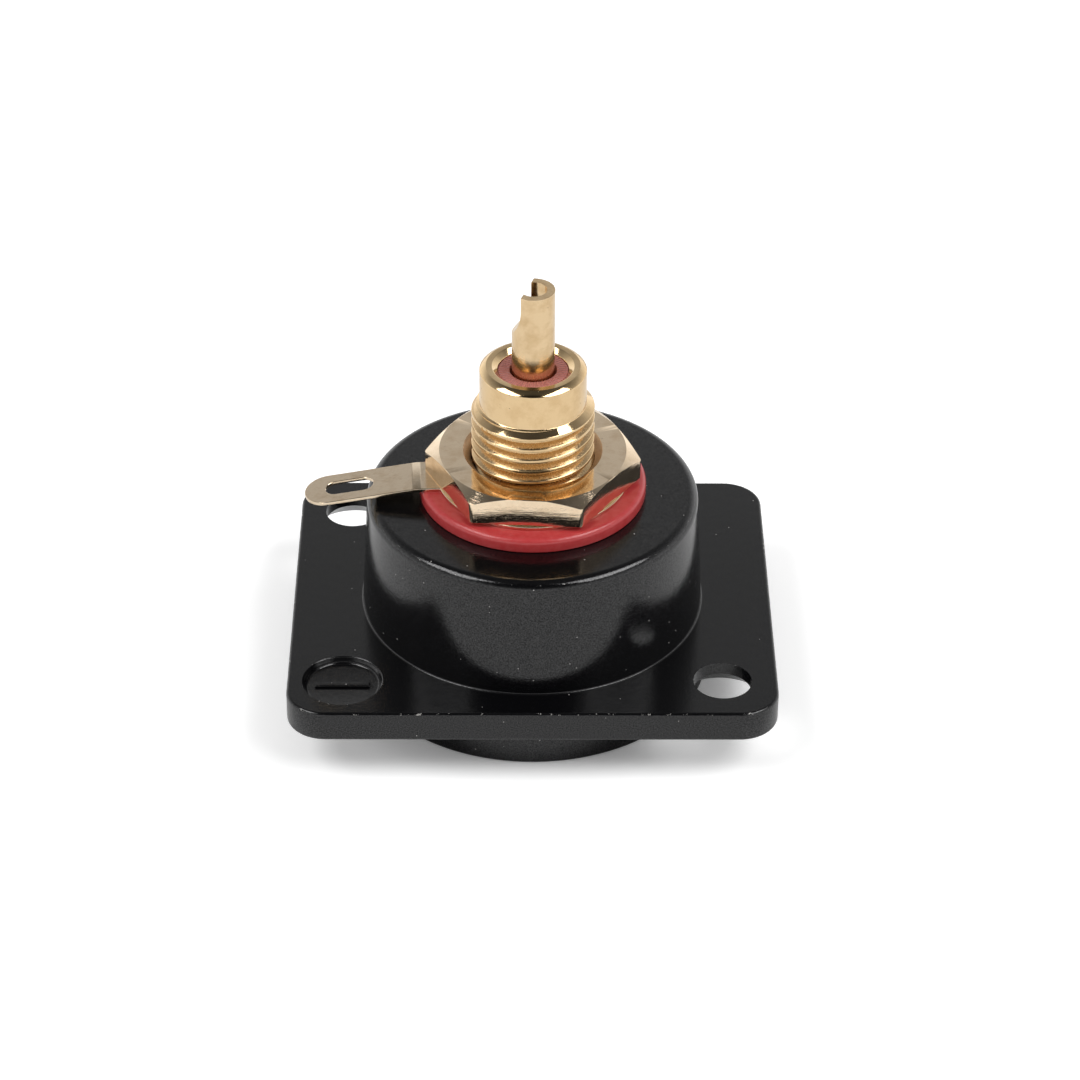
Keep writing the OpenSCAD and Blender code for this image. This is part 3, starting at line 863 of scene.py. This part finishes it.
# %% [markdown]
# ## Centre contact
#
# The contact is turned, drilled from both ends and sawn into four spring fingers in
# front. The fingers could be modelled one by one, but a workshop saws a whole sleeve,
# and so does this cell: one saw blade, used four times at right angles.

# %% Contact, turned and sawn
CUP_R, CUP_BORE_R, CUP_END, CUP_BORE_Z = 1.35, 0.85, 23.0, 19.3
SLEEVE_R, PIN_R, SLEEVE_Z, PIN_END, PIN_LEAD = 2.05, 1.6, -3.6, 10.4, 0.225
SAW_W, FINGER_L, FINGERS = 0.35, 8.0, 4

contact = turned("contact_turned", [
    (0, PIN_END + PIN_R / 2), (PIN_R, PIN_END), (PIN_R, SLEEVE_Z + PIN_LEAD), (PIN_R + PIN_LEAD, SLEEVE_Z),
    (SLEEVE_R, SLEEVE_Z), (SLEEVE_R, SLEEVE_END), (CUP_R, SLEEVE_END), (CUP_R, CUP_END),
    (CUP_BORE_R, CUP_END), (CUP_BORE_R, CUP_BORE_Z), (0, CUP_BORE_Z - CUP_BORE_R / 2)], steps=96)
for i in range(FINGERS):
    saw = block("saw", (0, -SAW_W / 2, SLEEVE_Z - 1), (2 * SLEEVE_R, SAW_W / 2, SLEEVE_Z + FINGER_L))
    saw.matrix_world = Matrix.Rotation(math.radians(45 + 360 / FINGERS * i), 4, "Z")
    cut(contact, saw)
print("spring fingers:", FINGERS, "length mm", FINGER_L)

# %% [markdown]
# The solder cup at the other end is milled open on one side, so that the wire can be
# laid in. The mill leaves a flat wall and a round foot. Its path is a block joined
# with a lying cylinder, turned to the side on which the cup is open.

# %% Contact, the solder cup
FLAT_OFFSET, FLAT_FOOT_Z, FLAT_FOOT_R, FLAT_SIDE = 0.4, 22.0, 2.8, math.radians(161.5)
MILL_HALF_W, MILL_FAR = 3, 4

mill = block("mill", (FLAT_OFFSET, -MILL_HALF_W, FLAT_FOOT_Z), (MILL_FAR, MILL_HALF_W, CUP_END + 1))
nothing_selected()
bpy.ops.mesh.primitive_cylinder_add(
    vertices=96, radius=FLAT_FOOT_R * MM, depth=(2 * MILL_HALF_W + 1) * MM, rotation=(math.pi / 2, 0, 0),
    location=((FLAT_OFFSET + FLAT_FOOT_R) * MM, 0, FLAT_FOOT_Z * MM))
cut(mill, bpy.context.object, "UNION")
mill.matrix_world = Matrix.Rotation(FLAT_SIDE, 4, "Z")
cut(contact, mill)
done(contact, "centre_contact", CONTACT_GOLD)

# %% [markdown]
# ## Earth lug
#
# The lug is stamped from thin sheet: a ring round the stem, and a tab with a slot for
# the earth wire. Ring and tab could be joined with a Boolean, but shapes whose faces lie in
# one plane make poor cuts. So the whole outline is drawn as one chain and extruded, and
# the holes are punched.

# %% Stamp the lug
LUG_Z, LUG_T, LUG_RING_R, TAB_W, REACH = 9.15, 0.25, 6.14, 3.1, 14.65
SLOT_L, SLOT_W, SLOT_LAND = 3.1, 1.4, 1.35

half_tab = TAB_W / 2
neck = math.degrees(math.asin(half_tab / LUG_RING_R))
outline = arc(0, 0, LUG_RING_R, neck, 360 - neck, 112) + arc(REACH - half_tab, 0, half_tab, -90, 90, 24)
lug = stamped("lug_sheet", outline, LUG_Z, LUG_Z + LUG_T)
cut(lug, rod("hole", WASHER_BORE_R, LUG_Z - 1, LUG_Z + 1))
slot_end = REACH - SLOT_LAND - SLOT_W / 2
slot_start = slot_end - SLOT_L + SLOT_W
slot = arc(slot_start, 0, SLOT_W / 2, 90, 270, 16) + arc(slot_end, 0, SLOT_W / 2, -90, 90, 16)
cut(lug, stamped("punch", slot, LUG_Z - 1, LUG_Z + 1))
bevel_edges(lug, 0.05, segments=3, angle=50)
print("lug faces:", len(lug.data.polygons))

# %% [markdown]
# The tab is bent down once, in a wide curve. The bend tool needs a window, and a
# lattice would be much for one bend. Here the sheet is bisected across in small steps,
# and from the tip inwards all that lies beyond each line is turned a little about it,
# as fingers on a bench edge would do it.

# %% Bend the tab
BEND_X, BEND_R, BEND_ANGLE, BEND_STEPS, LUG_SIDE = 7.1, 4.0, 9.0, 6, math.radians(182.2)

step_angle = math.radians(BEND_ANGLE / BEND_STEPS)
bend_lines = [(BEND_X + i * BEND_R * step_angle) * MM for i in range(BEND_STEPS + 1)]
only(lug)
bpy.ops.object.mode_set(mode="EDIT")
for line in bend_lines:
    bpy.ops.mesh.select_all(action="SELECT")
    bpy.ops.mesh.bisect(plane_co=(line, 0, 0), plane_no=(1, 0, 0), threshold=WELD)
bpy.ops.object.mode_set(mode="OBJECT")
points = lug.data.vertices
for line in reversed(bend_lines[:-1]):
    for v in points:
        v.select = v.co.x > line + WELD
    bpy.ops.object.mode_set(mode="EDIT")
    bpy.ops.transform.rotate(value=-step_angle, orient_axis="Y", orient_type="GLOBAL",
                             center_override=(line, 0, (LUG_Z + LUG_T) * MM))
    bpy.ops.object.mode_set(mode="OBJECT")
lug.matrix_world = Matrix.Rotation(LUG_SIDE, 4, "Z")
settle(lug)
done(lug, "earth_lug", LUG_GOLD)

# %% [markdown]
# ## The casting, outside
#
# The housing is one die casting: a round barrel with a draft, so that it left its
# die, an oblong flange with round corners, and a ring in front of it. The barrel and the
# ring are spun as one, and the flange is a block with bevelled edges that is
# joined to them. A cast barrel meets its flange in a small fillet, which is an arc in the
# section.

# %% Casting, outside
RING_R, FACE_Z, PLATE_T, EDGE = 11.45, -5.1, 2.1, 0.2
FOOT_R, DRAFT, RIM_R, FILLET = 11.0, math.radians(2.9), 0.65, 0.12
FLANGE_SKIN, CASTING_STEPS = 0.001, 192

rim_x = FOOT_R - (BARREL_H - RIM_R) * math.tan(DRAFT) - RIM_R / math.cos(DRAFT)
outside = [(0, FACE_Z)] + arc(RING_R - EDGE, FACE_Z + EDGE, EDGE, -90, 0)
outside += [(RING_R, -PLATE_T / 2), (FOOT_R + FILLET, -PLATE_T / 2), (FOOT_R + FILLET, -FLANGE_SKIN)]
outside += arc(FOOT_R + FILLET, FILLET, FILLET, 265, 180, 4)
outside += arc(rim_x, BARREL_H - RIM_R, RIM_R, math.degrees(DRAFT), 90, 10) + [(0, BARREL_H)]
housing = turned("housing_casting", outside, steps=CASTING_STEPS)

plate = block("plate", (-PLATE_W / 2, -PLATE_D / 2, -PLATE_T), (PLATE_W / 2, PLATE_D / 2, 0))
round_upright_edges(plate, CORNER_R, segments=16)
bevel_edges(plate, EDGE, segments=4, angle=50)
cut(housing, plate, "UNION")
print("outside faces:", len(housing.data.polygons))

# %% [markdown]
# ## The casting, hollow
#
# The cup is deep and has a rounded end, the end has a hole for the jack, and two screw
# holes are countersunk from the front. The hollow is cut only after the outside is
# joined, so that no wall of the flange is left standing inside the cup. The drill has the
# countersink on it, as a step drill has, so each screw hole is one cut.

# %% Casting, cup and screw holes
CUP_MOUTH_R, CUP_END_R, CUP_FILLET, HOLE_R = 9.4, 9.286, 0.5, 4.9
MOUTH_LEAD, SINK_R = 0.3, 3.1

cup = turned("cup", [(0, FACE_Z - 1), (CUP_MOUTH_R + 1 + MOUTH_LEAD, FACE_Z - 1),
                     (CUP_MOUTH_R, FACE_Z + MOUTH_LEAD)]
             + arc(CUP_END_R - CUP_FILLET, CUP_END_Z - CUP_FILLET, CUP_FILLET, 0, 90)
             + [(0, CUP_END_Z)], steps=CASTING_STEPS)
cut(housing, cup)
cut(housing, rod("hole", HOLE_R, CUP_END_Z - 1, BARREL_H + 1))
for side in (-1, 1):
    drill = turned("drill", [(0, -PLATE_T - 1), (SINK_R + 1, -PLATE_T - 1),
                             (SCREW_R, SINK_R - SCREW_R - PLATE_T), (SCREW_R, 1), (0, 1)], steps=96)
    drill.location = Vector((side * HOLE_X, -side * HOLE_Y, 0)) * MM
    cut(housing, drill)
print("faces after the cup and holes:", len(housing.data.polygons))

# %% [markdown]
# The third corner has a shallow round pocket, which is cast, so its floor meets its
# wall in a fillet and its lip is rounded. Both are arcs in the section of the tool
# that cuts it. A plain raised bar stands on its floor, a bevelled block.

# %% Casting, the pocket
POCKET_DEPTH, POCKET_FILLET, POCKET_LIP, POCKET_TAPER = 0.45, 0.22, 0.08, 0.1
BAR_L, BAR_W, BAR_H, BAR_ROOT = 3.5, 0.45, 0.16, 0.1

floor_r = POCKET_R - POCKET_LIP - POCKET_TAPER
pocket = turned("pocket", [(0, -POCKET_DEPTH)]
                + arc(floor_r - POCKET_FILLET, POCKET_FILLET - POCKET_DEPTH, POCKET_FILLET, -90, 0, 6)
                + arc(POCKET_R, -POCKET_LIP, POCKET_LIP, 180, 105, 4)
                + [(POCKET_R + 0.5, 0.5), (0, 0.5)], steps=96)
pocket.location = Vector((-HOLE_X, -HOLE_Y, 0)) * MM
cut(housing, pocket)
bar = block("bar", (-HOLE_X - BAR_L / 2, -HOLE_Y - BAR_W / 2, -POCKET_DEPTH - BAR_ROOT),
            (-HOLE_X + BAR_L / 2, -HOLE_Y + BAR_W / 2, BAR_H - POCKET_DEPTH))
cut(housing, bevel_edges(bar, 0.08), "UNION")
done(housing, "flange_housing", BLACK_PAINT)

# %% [markdown]
# ## The floor
#
# The socket stands on a white sweep. To the camera the floor glows a little, so that
# it fades into the background. The glow follows the Ambient Occlusion node, which is
# darker close to the part, so that the part keeps its shadow. The floor is clear from
# below and under the cup's mouth, so a low view looks into the cup.

# %% Floor
FLOOR_SIZE_M, FLOOR_WHITE, SHADOW_REACH, GLOW, MOUTH_MARGIN = 1.6, 0.92, 3.5, 0.36, 0.2

nothing_selected()
bpy.ops.mesh.primitive_plane_add(size=FLOOR_SIZE_M, location=(0, 0, FACE_Z * MM))
floor = bpy.context.object
floor.name = "floor"
floor_look, tree, shader = new_material("floor_white")
shader.inputs["Base Color"].default_value = (FLOOR_WHITE,) * 3 + (1,)
shader.inputs["Roughness"].default_value = 0.8
shader.inputs["Specular IOR Level"].default_value = 0.0
open_air = add(tree, "ShaderNodeAmbientOcclusion", {"Distance": SHADOW_REACH * MM}, samples=8).outputs["AO"]
glow = add(tree, "ShaderNodeEmission", {"Color": open_air, "Strength": GLOW})
lit = add(tree, "ShaderNodeAddShader", {0: shader.outputs[0], 1: glow.outputs[0]})
seen = tree.nodes.new("ShaderNodeLightPath").outputs["Is Camera Ray"]
shown = add(tree, "ShaderNodeMixShader", {0: seen, 1: shader.outputs[0], 2: lit.outputs[0]})
clear = tree.nodes.new("ShaderNodeBsdfTransparent").outputs[0]
under = tree.nodes.new("ShaderNodeNewGeometry").outputs["Backfacing"]
x, y, z = axes(tree)
mouth = math_node(tree, "LESS_THAN", length_of(tree, x, y), CUP_MOUTH_R + MOUTH_MARGIN)
sided = add(tree, "ShaderNodeMixShader", {0: math_node(tree, "MAXIMUM", under, mouth),
                                          1: shown.outputs[0], 2: clear})
tree.links.new(sided.outputs[0], next(n for n in tree.nodes if n.type == "OUTPUT_MATERIAL").inputs["Surface"])
floor.data.materials.append(floor_look)
print("floor at z mm", FACE_Z)

# %% [markdown]
# ## The light tent
#
# Gloss and plate show what stands round them. A plain grey world would make them look
# like grey clay, and an image of a studio isn't used. Two ramps make a tent: white all
# round near the horizon, darker overhead, and dark where the photographer stands. The
# camera itself sees plain white behind the part.

# %% World
DARK_SIDE = Vector((0, -math.cos(math.radians(42)), math.sin(math.radians(42))))
TENT_STRENGTH = 1.3

world = bpy.data.worlds.new("tent")
bpy.context.scene.world = world
world.use_nodes = True
tree = world.node_tree
tree.nodes.clear()
sky = tree.nodes.new("ShaderNodeTexCoord").outputs["Generated"]
height = add(tree, "ShaderNodeSeparateXYZ", {0: sky}).outputs[2]
tent = colour_ramp(tree, height, [(0.0, 1.0), (0.3, 0.72), (0.57, 0.32), (0.85, 0.09), (1.0, 0.05)])
toward = add(tree, "ShaderNodeVectorMath", {0: sky, 1: DARK_SIDE}, operation="DOT_PRODUCT").outputs["Value"]
shade = colour_ramp(tree, toward, [(0.0, 1.0), (0.80, 1.0), (0.93, 0.12), (1.0, 0.06)])
dimmed = blend(tree, 1.0, tent, shade, blend_type="MULTIPLY")
dome = add(tree, "ShaderNodeBackground", {"Color": dimmed, "Strength": TENT_STRENGTH})
plain = add(tree, "ShaderNodeBackground", {"Color": (1, 1, 1, 1), "Strength": 1.0})
seen = tree.nodes.new("ShaderNodeLightPath").outputs["Is Camera Ray"]
mixed = add(tree, "ShaderNodeMixShader", {0: seen, 1: dome.outputs[0], 2: plain.outputs[0]})
tree.links.new(mixed.outputs[0], tree.nodes.new("ShaderNodeOutputWorld").inputs["Surface"])
print("tent strength:", TENT_STRENGTH)

# %% [markdown]
# ## Soft boxes
#
# Two soft boxes stand left and right, with a dark gap between them. They draw the
# light patches on the barrel and the bright lines on the nose. An area lamp's power
# spreads over its size, so it is computed from the brightness that a mirror should
# show, 1 for plain white. The boxes can then be resized without changing how bright
# they look.

# %% Soft boxes
BOX_ELEVATION, BOX_DISTANCE_M, BOX_HEIGHT_M = 53, 0.9, 0.36


def soft_box(name, azimuth, width, radiance):
    """A soft box that faces the object, at this angle to the right of the photographer."""
    lamp = bpy.data.lights.new(name, "AREA")
    lamp.shape = "RECTANGLE"
    lamp.size, lamp.size_y = width, BOX_HEIGHT_M
    lamp.energy = radiance * math.pi * width * BOX_HEIGHT_M
    made = bpy.data.objects.new(name, lamp)
    bpy.context.scene.collection.objects.link(made)
    a, e = math.radians(azimuth), math.radians(BOX_ELEVATION)
    way = Vector((math.sin(a) * math.cos(e), -math.cos(a) * math.cos(e), math.sin(e)))
    made.matrix_world = (Matrix.Translation(way * BOX_DISTANCE_M)
                         @ way.to_track_quat("Z", "Y").to_matrix().to_4x4())
    return made


boxes = [soft_box("soft_box_left", -70, 0.55, 5.6), soft_box("soft_box_right", 66, 0.66, 5.8)]
print("soft boxes in watts:", [round(box.data.energy, 2) for box in boxes])

# %% [markdown]
# ## Colour
#
# The Standard view shows a colour about as it is written, where the filmic views would
# grey the white floor.

# %% Colour
bpy.context.scene.view_settings.view_transform = "Standard"
